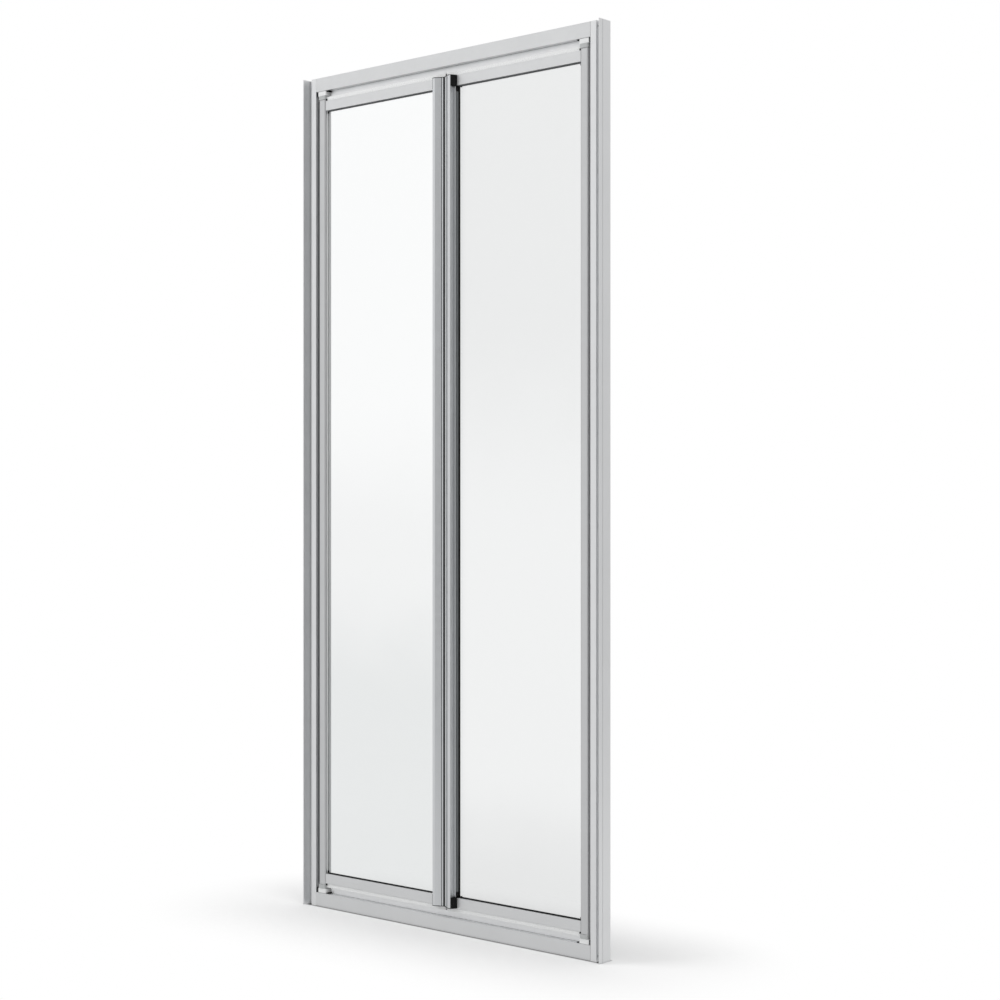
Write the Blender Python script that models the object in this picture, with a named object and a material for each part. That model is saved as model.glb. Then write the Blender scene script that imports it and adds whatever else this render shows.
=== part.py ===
"""Saloon shower door: two glazed leaves that swing both ways in an aluminium frame.

Metres, +Z up. X runs across the doorway and Y from the room (-) into the shower (+).
The origin is under the middle of the sill, on the plane that both leaves hang in.
A depth in the frame's or a leaf's section is measured from that plane, and a
distance called d is measured inwards from the frame's top or bottom edge.
"""
from math import cos, hypot, pi, sin

import bmesh
import bpy

# Overall size
HEIGHT = 1.900
WIDTH = 0.869
FRAME_HALF_DEPTH = 0.014

# Clearances
GAP = 0.0003
OVERRUN = 0.004
WIPE_GAP = 0.0007

# Extruded metal
METAL = 0.0016
EDGE_RADIUS = 0.0005
CORNER_STEPS = 3
ROUND_STEPS = 5

# Wall channels
WEB = 0.0017
LIP_FORWARD = 0.011
FLANGE = 0.002
FLANGE_REACH = 0.0135
FLANGE_FRONT = 0.004
FLANGE_SPACE = 0.012
LINE_FROM_LIP = 0.011
LINE_WIDTH = 0.0008
LINE_DEPTH = 0.0005

# Jambs
JAMB_SET_IN = 0.0165
JAMB_FACE = 0.015
TONGUE_REACH = 0.010
JAMB_SCREW_SHARES = (0.12, 0.5, 0.88)

# Header and sill, one extrusion used both ways up
RAIL_FACE = 0.031
RAIL_WALL = 0.0018
KEY_WIDTH = 0.006
KEY_DEPTH = 0.003
PORT_SIZE = 0.007
PORT_D = 0.012

# Infill strip on the header and upstand on the sill
INFILL_FACE = 0.013
INFILL_FRONT = 0.001
INFILL_DEPTH = 0.012
INFILL_END_GAP = 0.012
INFILL_SLANT = 0.004

# Leaves
PIVOT_CLEARANCE = 0.008
LEAF_RAIL_FACE = 0.0225
LEAF_RAIL_DEPTH = 0.020
PIVOT_STILE_WIDTH = 0.020
PIVOT_STILE_DEPTH = 0.024
PIVOT_STILE_RADIUS = 0.0035

# Glass and its gasket
GLASS = 0.006
GLASS_BITE = 0.006
GASKET = 0.0015
GASKET_SHOWS = 0.0022
GASKET_SHOWS_BEHIND = 0.001
BEAD_SHOWS = 0.003
BEAD_FORWARD = 0.0062
BEAD_CREST = 0.0006

# Meeting stile, which is also the handle; widths from the middle of the doorway
MEETING = 0.0025
RIM_WIDTH = 0.0032
RIM_FORWARD = 0.0015
RIM_RADIUS = 0.0011
VALLEY_WIDTH = 0.0015
VALLEY_DEPTH = 0.0010
NOSE_FORWARD = 0.010
NOSE_START = 0.019
NOSE_END = 0.026
SHOULDER_WIDTH = 0.005
SHOULDER_DROP = 0.002
BACK_LIP = 0.0012
STILE_BACK = 0.010
GRIP_START = 0.013
GRIP_END = 0.020
GRIP_BACK = 0.006
SEAL_GROOVE = 0.008
SEAL_GROOVE_DEPTH = 0.003

# Black magnetic seals
SEAL_FACE = 0.0004
SEAL_SET_BACK = 0.0007

# Black rail end caps
CAP_PLATE = 0.0012
CAP_WIDTH = 0.0022
CAP_NOSE_WIDTH = 0.002
CAP_SET_BACK = 0.002
CAP_HEIGHT = 0.024
CAP_TAB = 0.011
CAP_TAB_FORWARD = 0.0059
CAP_KEY = 0.010

# Pivots
SOCKET_WIDTH = 0.0246
SOCKET_DEPTH = 0.025
SOCKET_HEIGHT = 0.0101
SOCKET_RADIUS = 0.0012
HUB_WIDTH = 0.021
HUB_RADIUS = 0.003
HUB_HEIGHT = 0.009
HUB_PLUG = 0.015
PIN_RADIUS = 0.004
PIN_IN_HUB = 0.0077
PIN_IN_SOCKET = 0.0085
PIN_CHAMFER = 0.0005

# Wiper seals on the leaves and strips on the jambs
WIPER_BASE = 0.0015
WIPER_HEIGHT = 0.0088
WIPER_HALF = 0.008
WIPER_FIN = 0.0012
WIPER_FIN_SET_IN = 0.0004
JAMB_SEAL_THICKNESS = 0.0032
JAMB_SEAL_DEPTH = 0.006
JAMB_SEAL_CREST = 0.003

# Screws
SCREW_RADIUS = 0.00145
SCREW_HEAD_RADIUS = 0.0026
SCREW_HEAD_HEIGHT = 0.0019
SCREW_HEAD_CROWN = 0.0011
CORNER_SCREW_LENGTH = 0.014
CHANNEL_SCREW_LENGTH = 0.008
DRIVE_RADIUS = 0.0010
DRIVE_DEPTH = 0.0009
ROUND_SEGMENTS = 20
DRIVE_SIDES = 6

# Places that follow from the sizes above
FRONT = -FRAME_HALF_DEPTH
BACK = FRAME_HALF_DEPTH
WALL_FACE = WIDTH / 2
WALL_INNER = WALL_FACE - WEB
JAMB_OUTER = WALL_FACE - JAMB_SET_IN
JAMB_INNER = JAMB_OUTER - JAMB_FACE
FLANGE_TIP = WALL_INNER - FLANGE_REACH
TONGUE_TIP = JAMB_OUTER + TONGUE_REACH
TONGUE_FRONT = FLANGE + GAP - FLANGE_FRONT
TONGUE_BACK = FLANGE + FLANGE_SPACE - GAP - FLANGE_FRONT
REAR_FLANGE_BACK = 2 * FLANGE + FLANGE_SPACE - FLANGE_FRONT
CHANNEL_SCREW_X = (JAMB_OUTER + TONGUE_TIP - METAL) / 2
HOLE_RADIUS = SCREW_RADIUS + GAP
PORT_Y = RAIL_WALL + PORT_SIZE / 2 - FRAME_HALF_DEPTH
INFILL_D = RAIL_FACE + INFILL_FACE
LEAF_RAIL_D = INFILL_D + WIPE_GAP + WIPER_HEIGHT + GAP
STILE_D = LEAF_RAIL_D
SOCKET_D = RAIL_FACE + GAP + SOCKET_HEIGHT
HUB_TOP_D = SOCKET_D + GAP
HUB_SEAT_D = HUB_TOP_D + HUB_HEIGHT
HUB_DEPTH = BACK - FRONT
PIVOT_STILE_D = HUB_SEAT_D + GAP
STILE_HALF = PIVOT_STILE_WIDTH / 2
STILE_HALF_DEPTH = PIVOT_STILE_DEPTH / 2
PIVOT_X = JAMB_INNER - PIVOT_CLEARANCE - STILE_HALF
POCKET_HALF = GLASS / 2 + GAP + GASKET + GAP
POCKET_DEEP = GLASS_BITE + GAP + GASKET + GAP
RIM_FRONT = FRONT - RIM_FORWARD
RIM_END = MEETING + RIM_WIDTH
VALLEY_END = RIM_END + VALLEY_WIDTH
VALLEY_FLOOR = RIM_FRONT + VALLEY_DEPTH
NOSE_FRONT = FRONT - NOSE_FORWARD
SHOULDER_FRONT = FRONT + SHOULDER_DROP
SHOULDER_END = NOSE_END + SHOULDER_WIDTH
STILE_POCKET = SHOULDER_END - POCKET_DEEP
CAP_END = SHOULDER_END + CAP_WIDTH
RAIL_MOUTH_D = LEAF_RAIL_D + LEAF_RAIL_FACE
RAIL_POCKET_D = RAIL_MOUTH_D - POCKET_DEEP
CAP_FOOT_D = STILE_D + CAP_HEIGHT
CAP_TAB_D = CAP_FOOT_D + CAP_TAB

SIDES = (("left", -1), ("right", 1))
ENDS = (("top", 1), ("bottom", -1))


def clear_scene():
    for item in list(bpy.data.objects):
        bpy.data.objects.remove(item, do_unlink=True)


def material(name, colour, roughness, metallic=0.0, transmission=0.0):
    mat = bpy.data.materials.new(name)
    mat.use_nodes = True
    shader = mat.node_tree.nodes["Principled BSDF"]
    shader.inputs["Base Color"].default_value = (*colour, 1)
    shader.inputs["Roughness"].default_value = roughness
    shader.inputs["Metallic"].default_value = metallic
    shader.inputs["Transmission Weight"].default_value = transmission
    mat.diffuse_color = (*colour, 1)
    return mat


def make_materials():
    return {
        "aluminium": material("satin_anodised_aluminium", (0.62, 0.63, 0.64), 0.35, 1.0),
        "channel": material("wall_channel_aluminium", (0.54, 0.55, 0.56), 0.4, 1.0),
        "glass": material("clear_safety_glass", (0.96, 0.98, 0.98), 0.02, 0.0, 0.95),
        "rubber": material("black_rubber", (0.012, 0.012, 0.013), 0.6),
        "jamb_rubber": material("dark_grey_rubber", (0.09, 0.095, 0.1), 0.6),
        "black_plastic": material("black_moulded_plastic", (0.015, 0.015, 0.016), 0.4),
        "grey_plastic": material("light_grey_moulded_plastic", (0.55, 0.56, 0.56), 0.45),
        "wiper": material("translucent_pvc", (0.82, 0.84, 0.84), 0.35, 0.0, 0.4),
        "steel": material("stainless_steel", (0.58, 0.58, 0.57), 0.25, 1.0),
    }


def unit(start, end):
    length = hypot(end[0] - start[0], end[1] - start[1])
    return (end[0] - start[0]) / length, (end[1] - start[1]) / length


def fillet(before, corner, after, radius, steps):
    """Points of an arc that is tangent to both sides of a corner."""
    back, ahead = unit(corner, before), unit(corner, after)
    bisector = (back[0] + ahead[0], back[1] + ahead[1])
    half_cos = hypot(*bisector) / 2
    half_sin = (1 - half_cos * half_cos) ** 0.5
    reach = radius * half_cos / half_sin
    stretch = radius / half_sin / hypot(*bisector)
    centre = tuple(corner[i] + bisector[i] * stretch for i in (0, 1))
    start = tuple(corner[i] + back[i] * reach for i in (0, 1))
    end = tuple(corner[i] + ahead[i] * reach for i in (0, 1))
    points = []
    for step in range(steps + 1):
        share = step / steps
        mix = [(1 - share) * start[i] + share * end[i] - centre[i] for i in (0, 1)]
        grow = radius / hypot(*mix)
        points.append((centre[0] + mix[0] * grow, centre[1] + mix[1] * grow))
    return points


def outline(corners, radius=0.0, steps=CORNER_STEPS):
    """A closed outline; a corner given with a third value has that fillet radius."""
    points = []
    for index, corner in enumerate(corners):
        size = corner[2] if len(corner) > 2 else radius
        if size:
            after = corners[(index + 1) % len(corners)]
            points += fillet(corners[index - 1], corner, after, size, steps)
        else:
            points.append((corner[0], corner[1]))
    return points


def box(u0, u1, v0, v1, radius=0.0, steps=CORNER_STEPS):
    return outline([(u0, v0), (u1, v0), (u1, v1), (u0, v1)], radius, steps)


def inset(corners, wall):
    """The same outline moved inwards by the wall's thickness on every side."""
    count = len(corners)
    area = sum(corners[i - 1][0] * corners[i][1] - corners[i][0] * corners[i - 1][1]
               for i in range(count))
    turn = 1 if area > 0 else -1
    points = []
    for index, corner in enumerate(corners):
        before = unit(corners[index - 1], corner)
        after = unit(corner, corners[(index + 1) % count])
        normals = [(-turn * side[1], turn * side[0]) for side in (before, after)]
        across = normals[0][0] * normals[1][0] + normals[0][1] * normals[1][1]
        push = wall / (1 + across)
        points.append(tuple(corner[i] + (normals[0][i] + normals[1][i]) * push
                            for i in (0, 1)))
    return points


def circle(u, v, radius, segments=ROUND_SEGMENTS):
    turns = [2 * pi * step / segments for step in range(segments)]
    return [(u + radius * cos(turn), v + radius * sin(turn)) for turn in turns]


def from_edge(d, end):
    """Height at the distance d from the frame's top (end 1) or bottom (end -1) edge."""
    return HEIGHT - d if end > 0 else d


def span(near, far, end):
    """Heights of two distances from that edge, lowest first."""
    return sorted((from_edge(near, end), from_edge(far, end)))


def raised(loop, end):
    """A section drawn as (depth, d), set at its height."""
    return [(u, from_edge(d, end)) for u, d in loop]


def place(axis, u, v, w, flip):
    """World axes from a section's own: u, v in the section and w along the extrusion."""
    if axis == "Z":
        return flip * u, v, w
    if axis == "X":
        return flip * w, u, v
    return flip * u, w, v


def prism(name, loops, axis, start, end, flip=1):
    """One extrusion of an outline with the chambers inside it, or of several outlines."""
    shape = bmesh.new()
    for loop in loops:
        ring = [shape.verts.new(place(axis, u, v, start, flip)) for u, v in loop]
        for index, vertex in enumerate(ring):
            shape.edges.new((vertex, ring[(index + 1) % len(ring)]))
    filled = bmesh.ops.triangle_fill(shape, edges=shape.edges[:], use_beauty=True)
    faces = [item for item in filled["geom"] if isinstance(item, bmesh.types.BMFace)]
    grown = bmesh.ops.extrude_face_region(shape, geom=faces)
    along = "XYZ".index(axis)
    level = place(axis, 0, 0, end, flip)[along]
    for item in grown["geom"]:
        if isinstance(item, bmesh.types.BMVert):
            item.co[along] = level
    bmesh.ops.recalc_face_normals(shape, faces=shape.faces[:])
    return to_object(name, shape)


def turned(name, profile, axis, centre, flip=1, segments=ROUND_SEGMENTS):
    """A solid of revolution; profile runs from pole to pole as (radius, height)."""
    shape = bmesh.new()
    rings = []
    for radius, height in profile:
        ring = []
        for u, v in circle(0, 0, radius, segments if radius else 1):
            point = place(axis, u, v, height, 1)
            ring.append(shape.verts.new([centre[i] + point[i] for i in range(3)]))
        rings.append(ring)
    for lower, upper in zip(rings, rings[1:]):
        for step in range(segments):
            after = (step + 1) % segments
            corners = [lower[step % len(lower)], lower[after % len(lower)],
                       upper[after % len(upper)], upper[step % len(upper)]]
            shape.faces.new(dict.fromkeys(corners))
    bmesh.ops.scale(shape, vec=(flip, 1, 1), verts=shape.verts)
    bmesh.ops.recalc_face_normals(shape, faces=shape.faces[:])
    return to_object(name, shape)


def to_object(name, shape):
    mesh = bpy.data.meshes.new(name)
    shape.to_mesh(mesh)
    shape.free()
    item = bpy.data.objects.new(name, mesh)
    bpy.context.scene.collection.objects.link(item)
    return item


def combine(item, tool, operation):
    """Add a Boolean whose tool is left out of the build."""
    tool.hide_render = True
    tool.display_type = "WIRE"
    modifier = item.modifiers.new(tool.name, "BOOLEAN")
    modifier.operation = operation
    modifier.solver = "EXACT"
    modifier.object = tool


def cut(item, tool):
    combine(item, tool, "DIFFERENCE")


def join(item, tool):
    combine(item, tool, "UNION")


def finish(item, mat, pivot=None, smooth=False):
    """Give the material, and hang the piece and its tools on the leaf's pivot."""
    item.data.materials.append(mat)
    if pivot:
        for piece in [item] + [modifier.object for modifier in item.modifiers]:
            for vertex in piece.data.vertices:
                vertex.co -= pivot.location
            piece.parent = pivot
    if smooth:
        item.data.shade_smooth()
        item.data.set_sharp_from_angle(angle=pi / 5)


def channel_section():
    """A web on the wall, a lip in front, and two flanges for the jamb's tongue."""
    lip = FRONT - LIP_FORWARD
    line = lip + LINE_FROM_LIP
    line_floor = WALL_FACE - LINE_DEPTH
    flange_inside = FLANGE - FLANGE_FRONT
    rear_inside = flange_inside + FLANGE_SPACE
    return outline([
        (WALL_FACE, lip, EDGE_RADIUS), (WALL_FACE, line), (line_floor, line),
        (line_floor, line + LINE_WIDTH), (WALL_FACE, line + LINE_WIDTH),
        (WALL_FACE, REAR_FLANGE_BACK, EDGE_RADIUS), (FLANGE_TIP, REAR_FLANGE_BACK),
        (FLANGE_TIP, rear_inside), (WALL_INNER, rear_inside), (WALL_INNER, flange_inside),
        (FLANGE_TIP, flange_inside), (FLANGE_TIP, -FLANGE_FRONT),
        (WALL_INNER, -FLANGE_FRONT), (WALL_INNER, lip, EDGE_RADIUS),
    ])


def channel_holes():
    """Holes for the three channel screws, in flange and tongue alike."""
    return [circle(CHANNEL_SCREW_X, HEIGHT * share, HOLE_RADIUS) for share in JAMB_SCREW_SHARES]


def make_wall_channels(mats):
    start, end = REAR_FLANGE_BACK - FLANGE - GAP, REAR_FLANGE_BACK + OVERRUN
    for side, flip in SIDES:
        item = prism(f"{side}_wall_channel", [channel_section()], "Z", 0, HEIGHT, flip)
        cut(item, prism(f"{side}_flange_holes", channel_holes(), "Y", start, end, flip))
        finish(item, mats["channel"])


def jamb_section():
    """A box with a tongue that slides between the channel's flanges."""
    corners = [
        (JAMB_INNER, FRONT, EDGE_RADIUS), (JAMB_OUTER, FRONT, EDGE_RADIUS),
        (JAMB_OUTER, TONGUE_FRONT), (TONGUE_TIP, TONGUE_FRONT, EDGE_RADIUS),
        (TONGUE_TIP, TONGUE_BACK, EDGE_RADIUS), (JAMB_OUTER, TONGUE_BACK),
        (JAMB_OUTER, BACK, EDGE_RADIUS), (JAMB_INNER, BACK, EDGE_RADIUS),
    ]
    main = box(JAMB_INNER + METAL, JAMB_OUTER - METAL, FRONT + METAL, BACK - METAL)
    tongue = box(JAMB_OUTER, TONGUE_TIP - METAL, TONGUE_FRONT + METAL, TONGUE_BACK - METAL)
    return [outline(corners), main, tongue]


def make_jambs(mats):
    """Jambs with clearance and access holes for the corner and channel screws."""
    heights = [from_edge(PORT_D, end) for name, end in ENDS]
    inner = [circle(PORT_Y, height, HOLE_RADIUS) for height in heights]
    access = [circle(PORT_Y, height, SCREW_HEAD_RADIUS + GAP) for height in heights]
    for side, flip in SIDES:
        item = prism(f"{side}_jamb", jamb_section(), "Z", 0, HEIGHT, flip)
        start, stop = JAMB_INNER - OVERRUN, JAMB_INNER + METAL + GAP
        cut(item, prism(f"{side}_jamb_holes", inner, "X", start, stop, flip))
        start, stop = JAMB_OUTER - METAL - GAP, JAMB_OUTER + OVERRUN
        cut(item, prism(f"{side}_jamb_access_holes", access, "X", start, stop, flip))
        start, stop = TONGUE_BACK - METAL - GAP, TONGUE_BACK + OVERRUN
        cut(item, prism(f"{side}_tongue_holes", channel_holes(), "Y", start, stop, flip))
        finish(item, mats["aluminium"])


def key_slot():
    """Depths of the slot in header and sill that holds the infill and the sockets."""
    middle = INFILL_DEPTH / 2 - INFILL_FRONT
    return middle - KEY_WIDTH / 2, middle + KEY_WIDTH / 2


def frame_rail_section(end):
    """A hollow rail with a screw port behind its front and a key slot in its inner face."""
    slot_front, slot_back = key_slot()
    slot_d = RAIL_FACE - KEY_DEPTH
    corners = [
        (FRONT, 0, EDGE_RADIUS), (BACK, 0, EDGE_RADIUS), (BACK, RAIL_FACE, EDGE_RADIUS),
        (slot_back, RAIL_FACE), (slot_back, slot_d), (slot_front, slot_d),
        (slot_front, RAIL_FACE), (FRONT, RAIL_FACE, EDGE_RADIUS),
    ]
    port_back = PORT_Y + PORT_SIZE / 2
    near, far = PORT_D - PORT_SIZE / 2, PORT_D + PORT_SIZE / 2
    inner_front, inner_back = FRONT + RAIL_WALL, BACK - RAIL_WALL
    deep = slot_d - RAIL_WALL
    chamber = [
        (inner_front, RAIL_WALL), (inner_back, RAIL_WALL), (inner_back, deep),
        (inner_front, deep), (inner_front, far), (port_back, far), (port_back, near),
        (inner_front, near),
    ]
    port = circle(PORT_Y, PORT_D, HOLE_RADIUS)
    return [raised(loop, end) for loop in (outline(corners), chamber, port)]


def make_frame_rails(mats):
    reach = JAMB_INNER - GAP
    for name, end in (("header", 1), ("sill", -1)):
        finish(prism(name, frame_rail_section(end), "X", -reach, reach), mats["aluminium"])


def infill_section(end):
    """A hollow strip with a key that fits the slot of the header or sill."""
    front, back = -INFILL_FRONT, INFILL_DEPTH - INFILL_FRONT
    slot_front, slot_back = key_slot()
    near, far = RAIL_FACE + GAP, INFILL_D
    key_d = RAIL_FACE - KEY_DEPTH + GAP
    corners = [
        (front, near), (slot_front + GAP, near), (slot_front + GAP, key_d),
        (slot_back - GAP, key_d), (slot_back - GAP, near), (back, near),
        (back, far, EDGE_RADIUS), (front, far, EDGE_RADIUS),
    ]
    chamber = box(front + METAL, back - METAL, near + METAL, far - METAL)
    return [raised(loop, end) for loop in (outline(corners), chamber)]


def make_infills(mats):
    """Fixed strips that stop short of the pivots with slanted ends."""
    tip = PIVOT_X - STILE_HALF - INFILL_END_GAP + INFILL_SLANT
    root = tip - INFILL_SLANT
    for name, end in (("header_infill", 1), ("sill_upstand", -1)):
        item = prism(name, infill_section(end), "X", -tip, tip)
        top, low = RAIL_FACE - KEY_DEPTH - OVERRUN, INFILL_D + OVERRUN
        wedge = [(root, top), (root, RAIL_FACE), (tip, INFILL_D), (tip, low),
                 (tip + OVERRUN, low), (tip + OVERRUN, top)]
        for side, flip in SIDES:
            loop = raised(wedge, end)
            start, stop = -INFILL_FRONT - OVERRUN, INFILL_DEPTH + OVERRUN
            cut(item, prism(f"{name}_{side}_wedge", [loop], "Y", start, stop, flip))
        finish(item, mats["aluminium"])


def screw_profile(length):
    """From the tip to the crown of a pan head whose seat is at height zero."""
    tip = SCREW_RADIUS / 2
    flat = DRIVE_RADIUS + (SCREW_HEAD_RADIUS - DRIVE_RADIUS) / 2
    edge = SCREW_HEAD_HEIGHT - SCREW_HEAD_CROWN
    points = [(0, -length), (tip, -length), (SCREW_RADIUS, tip - length), (SCREW_RADIUS, 0),
              (SCREW_HEAD_RADIUS, 0)]
    for step in range(CORNER_STEPS + 1):
        turn = pi / 2 * step / CORNER_STEPS
        across = flat + (SCREW_HEAD_RADIUS - flat) * cos(turn)
        points.append((across, edge + SCREW_HEAD_CROWN * sin(turn)))
    return points + [(0, SCREW_HEAD_HEIGHT)]


def make_corner_screw(name, seat, flip, mats):
    item = turned(name, screw_profile(CORNER_SCREW_LENGTH), "X", seat, flip)
    drive = circle(seat[1], seat[2], DRIVE_RADIUS, DRIVE_SIDES)
    top = seat[0] + SCREW_HEAD_HEIGHT
    cut(item, prism(f"{name}_drive", [drive], "X", top - DRIVE_DEPTH, top + OVERRUN, flip))
    finish(item, mats["steel"], smooth=True)


def make_channel_screw(name, seat, flip, mats):
    item = turned(name, screw_profile(CHANNEL_SCREW_LENGTH), "Y", seat, flip)
    drive = circle(seat[0], seat[2], DRIVE_RADIUS, DRIVE_SIDES)
    top = seat[1] + SCREW_HEAD_HEIGHT
    cut(item, prism(f"{name}_drive", [drive], "Y", top - DRIVE_DEPTH, top + OVERRUN, flip))
    finish(item, mats["steel"], smooth=True)


def make_screws(mats):
    for side, flip in SIDES:
        for name, end in ENDS:
            seat = (JAMB_INNER + METAL + GAP, PORT_Y, from_edge(PORT_D, end))
            make_corner_screw(f"{side}_{name}_corner_screw", seat, flip, mats)
        for number, share in enumerate(JAMB_SCREW_SHARES):
            seat = (CHANNEL_SCREW_X, REAR_FLANGE_BACK + GAP, HEIGHT * share)
            make_channel_screw(f"{side}_channel_screw_{number + 1}", seat, flip, mats)


def make_jamb_seals(mats):
    """Soft strips on the jambs that close the gap beside each pivot stile."""
    base = JAMB_INNER - GAP
    crest = base - JAMB_SEAL_THICKNESS
    step = (JAMB_SEAL_DEPTH - JAMB_SEAL_CREST) / 2
    corners = [(base, -JAMB_SEAL_DEPTH), (crest, -JAMB_SEAL_DEPTH + step), (crest, -step),
               (base, 0)]
    for side, flip in SIDES:
        low = PIVOT_STILE_D + WIPE_GAP
        item = prism(f"{side}_jamb_seal", [corners], "Z", low, HEIGHT - low, flip)
        finish(item, mats["jamb_rubber"])


def pivot_block(width, depth, radius):
    """Outline of a hub or a socket round the pivot axis."""
    return box(PIVOT_X - width / 2, PIVOT_X + width / 2, -depth / 2, depth / 2, radius)


def make_sockets(mats):
    """Fixed blocks, keyed into header and sill, that the pivot pins turn in."""
    slot_front, slot_back = key_slot()
    block = pivot_block(SOCKET_WIDTH, SOCKET_DEPTH, SOCKET_RADIUS)
    for side, flip in SIDES:
        for name, end in ENDS:
            low, high = span(RAIL_FACE + GAP, SOCKET_D, end)
            item = prism(f"{side}_{name}_pivot_socket", [block], "Z", low, high, flip)
            key = box(PIVOT_X - STILE_HALF / 2, PIVOT_X + STILE_HALF / 2,
                      slot_front + GAP, slot_back - GAP)
            low, high = span(RAIL_FACE - KEY_DEPTH + GAP, RAIL_FACE + KEY_DEPTH, end)
            join(item, prism(f"{side}_{name}_socket_key", [key], "Z", low, high, flip))
            bore = circle(PIVOT_X, 0, PIN_RADIUS + GAP)
            low, high = span(SOCKET_D - PIN_IN_SOCKET - GAP, SOCKET_D + OVERRUN, end)
            cut(item, prism(f"{side}_{name}_socket_bore", [bore], "Z", low, high, flip))
            finish(item, mats["grey_plastic"])


def pivot_stile_section():
    """A round-cornered box: a main chamber and a chamber each side of the glass pocket."""
    inner, outer = PIVOT_X - STILE_HALF, PIVOT_X + STILE_HALF
    soft = PIVOT_STILE_RADIUS
    depth = STILE_HALF_DEPTH
    pocket = inner + POCKET_DEEP
    corners = [
        (outer, -depth, soft), (inner, -depth, soft), (inner, -POCKET_HALF),
        (pocket, -POCKET_HALF), (pocket, POCKET_HALF), (inner, POCKET_HALF),
        (inner, depth, soft), (outer, depth, soft),
    ]
    loops = [outline(corners, steps=ROUND_STEPS), main_chamber(0)]
    for facing in (-1, 1):
        loops.append([
            (pocket, facing * (depth - METAL)), (inner + soft, facing * (depth - METAL)),
            (inner + METAL, facing * (POCKET_HALF + METAL)),
            (pocket, facing * (POCKET_HALF + METAL)),
        ])
    return loops


def main_chamber(play):
    """The pivot stile's main chamber, or with some play the hub's plug in it."""
    near = PIVOT_X - STILE_HALF + POCKET_DEEP + METAL + play
    far = PIVOT_X + STILE_HALF - METAL - play
    depth = STILE_HALF_DEPTH - METAL - play
    soft = PIVOT_STILE_RADIUS - METAL - play
    return outline([(near, -depth), (far, -depth, soft), (far, depth, soft), (near, depth)])


def make_pivot_stile(side, flip, pivot, mats):
    low, high = PIVOT_STILE_D, HEIGHT - PIVOT_STILE_D
    item = prism(f"{side}_pivot_stile", pivot_stile_section(), "Z", low, high, flip)
    finish(item, mats["aluminium"], pivot)


def handle_front():
    """Front of the meeting stile: round rim, narrow valley, slope and flat nose."""
    share = VALLEY_WIDTH / (NOSE_START - RIM_END)
    slope_start = RIM_FRONT + share * (NOSE_FRONT - RIM_FRONT)
    return [
        (MEETING, RIM_FRONT, RIM_RADIUS), (RIM_END, RIM_FRONT, EDGE_RADIUS),
        (RIM_END, VALLEY_FLOOR), (VALLEY_END, VALLEY_FLOOR), (VALLEY_END, slope_start),
        (NOSE_START, NOSE_FRONT, EDGE_RADIUS), (NOSE_END, NOSE_FRONT, EDGE_RADIUS),
    ]


def handle_back():
    """Back of the meeting stile: a shallow grip that falls towards the glass."""
    grip = STILE_BACK + GRIP_BACK
    return [
        (SHOULDER_END, POCKET_HALF + BACK_LIP), (GRIP_END, grip, EDGE_RADIUS),
        (GRIP_START, grip, EDGE_RADIUS), (RIM_END, STILE_BACK),
        (MEETING, STILE_BACK),
    ]


def seal_groove():
    """Groove in the meeting edge for the magnetic seal's root."""
    floor, half = MEETING + SEAL_GROOVE_DEPTH, SEAL_GROOVE / 2
    return [(MEETING, half), (floor, half), (floor, -half), (MEETING, -half)]


def meeting_stile_section():
    """The handle's section, with a pocket for the glass and a groove for the seal."""
    groove = MEETING + SEAL_GROOVE_DEPTH
    grip = STILE_BACK + GRIP_BACK
    corners = handle_front() + [
        (NOSE_END, SHOULDER_FRONT), (SHOULDER_END, SHOULDER_FRONT, EDGE_RADIUS),
        (SHOULDER_END, -POCKET_HALF), (STILE_POCKET, -POCKET_HALF),
        (STILE_POCKET, POCKET_HALF), (SHOULDER_END, POCKET_HALF),
    ] + handle_back() + seal_groove()
    fall = (grip - POCKET_HALF - BACK_LIP) / (SHOULDER_END - GRIP_END)
    pocket_back = grip - fall * (STILE_POCKET - GRIP_END)
    core = [
        (groove, VALLEY_FLOOR), (NOSE_START, NOSE_FRONT), (NOSE_END, NOSE_FRONT),
        (NOSE_END, -POCKET_HALF), (STILE_POCKET, -POCKET_HALF), (STILE_POCKET, pocket_back),
        (GRIP_END, grip), (GRIP_START, grip), (groove, STILE_BACK),
    ]
    lip = box(NOSE_END, SHOULDER_END - METAL, SHOULDER_FRONT + METAL, -POCKET_HALF - METAL)
    return [outline(corners), inset(core, METAL), lip]


def make_meeting_stile(side, flip, pivot, mats):
    d = STILE_D + CAP_PLATE + GAP
    item = prism(f"{side}_meeting_stile", meeting_stile_section(), "Z", d, HEIGHT - d, flip)
    finish(item, mats["aluminium"], pivot)


def leaf_rail_section(end):
    """A box rail over a pocket for the glass, its mouth towards the pane."""
    half = LEAF_RAIL_DEPTH / 2
    corners = [
        (-half, LEAF_RAIL_D, EDGE_RADIUS), (half, LEAF_RAIL_D, EDGE_RADIUS),
        (half, RAIL_MOUTH_D, EDGE_RADIUS), (POCKET_HALF, RAIL_MOUTH_D),
        (POCKET_HALF, RAIL_POCKET_D), (-POCKET_HALF, RAIL_POCKET_D),
        (-POCKET_HALF, RAIL_MOUTH_D), (-half, RAIL_MOUTH_D, EDGE_RADIUS),
    ]
    loops = [outline(corners), rail_chamber(0)]
    for facing in (-1, 1):
        loops.append(box(facing * (half - METAL), facing * (POCKET_HALF + METAL),
                         RAIL_POCKET_D, RAIL_MOUTH_D - METAL))
    return [raised(loop, end) for loop in loops]


def rail_chamber(play):
    """The leaf rail's chamber, or with some play the end cap's key in it."""
    half = LEAF_RAIL_DEPTH / 2 - METAL - play
    return box(-half, half, LEAF_RAIL_D + METAL + play, RAIL_POCKET_D - METAL - play)


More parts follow.
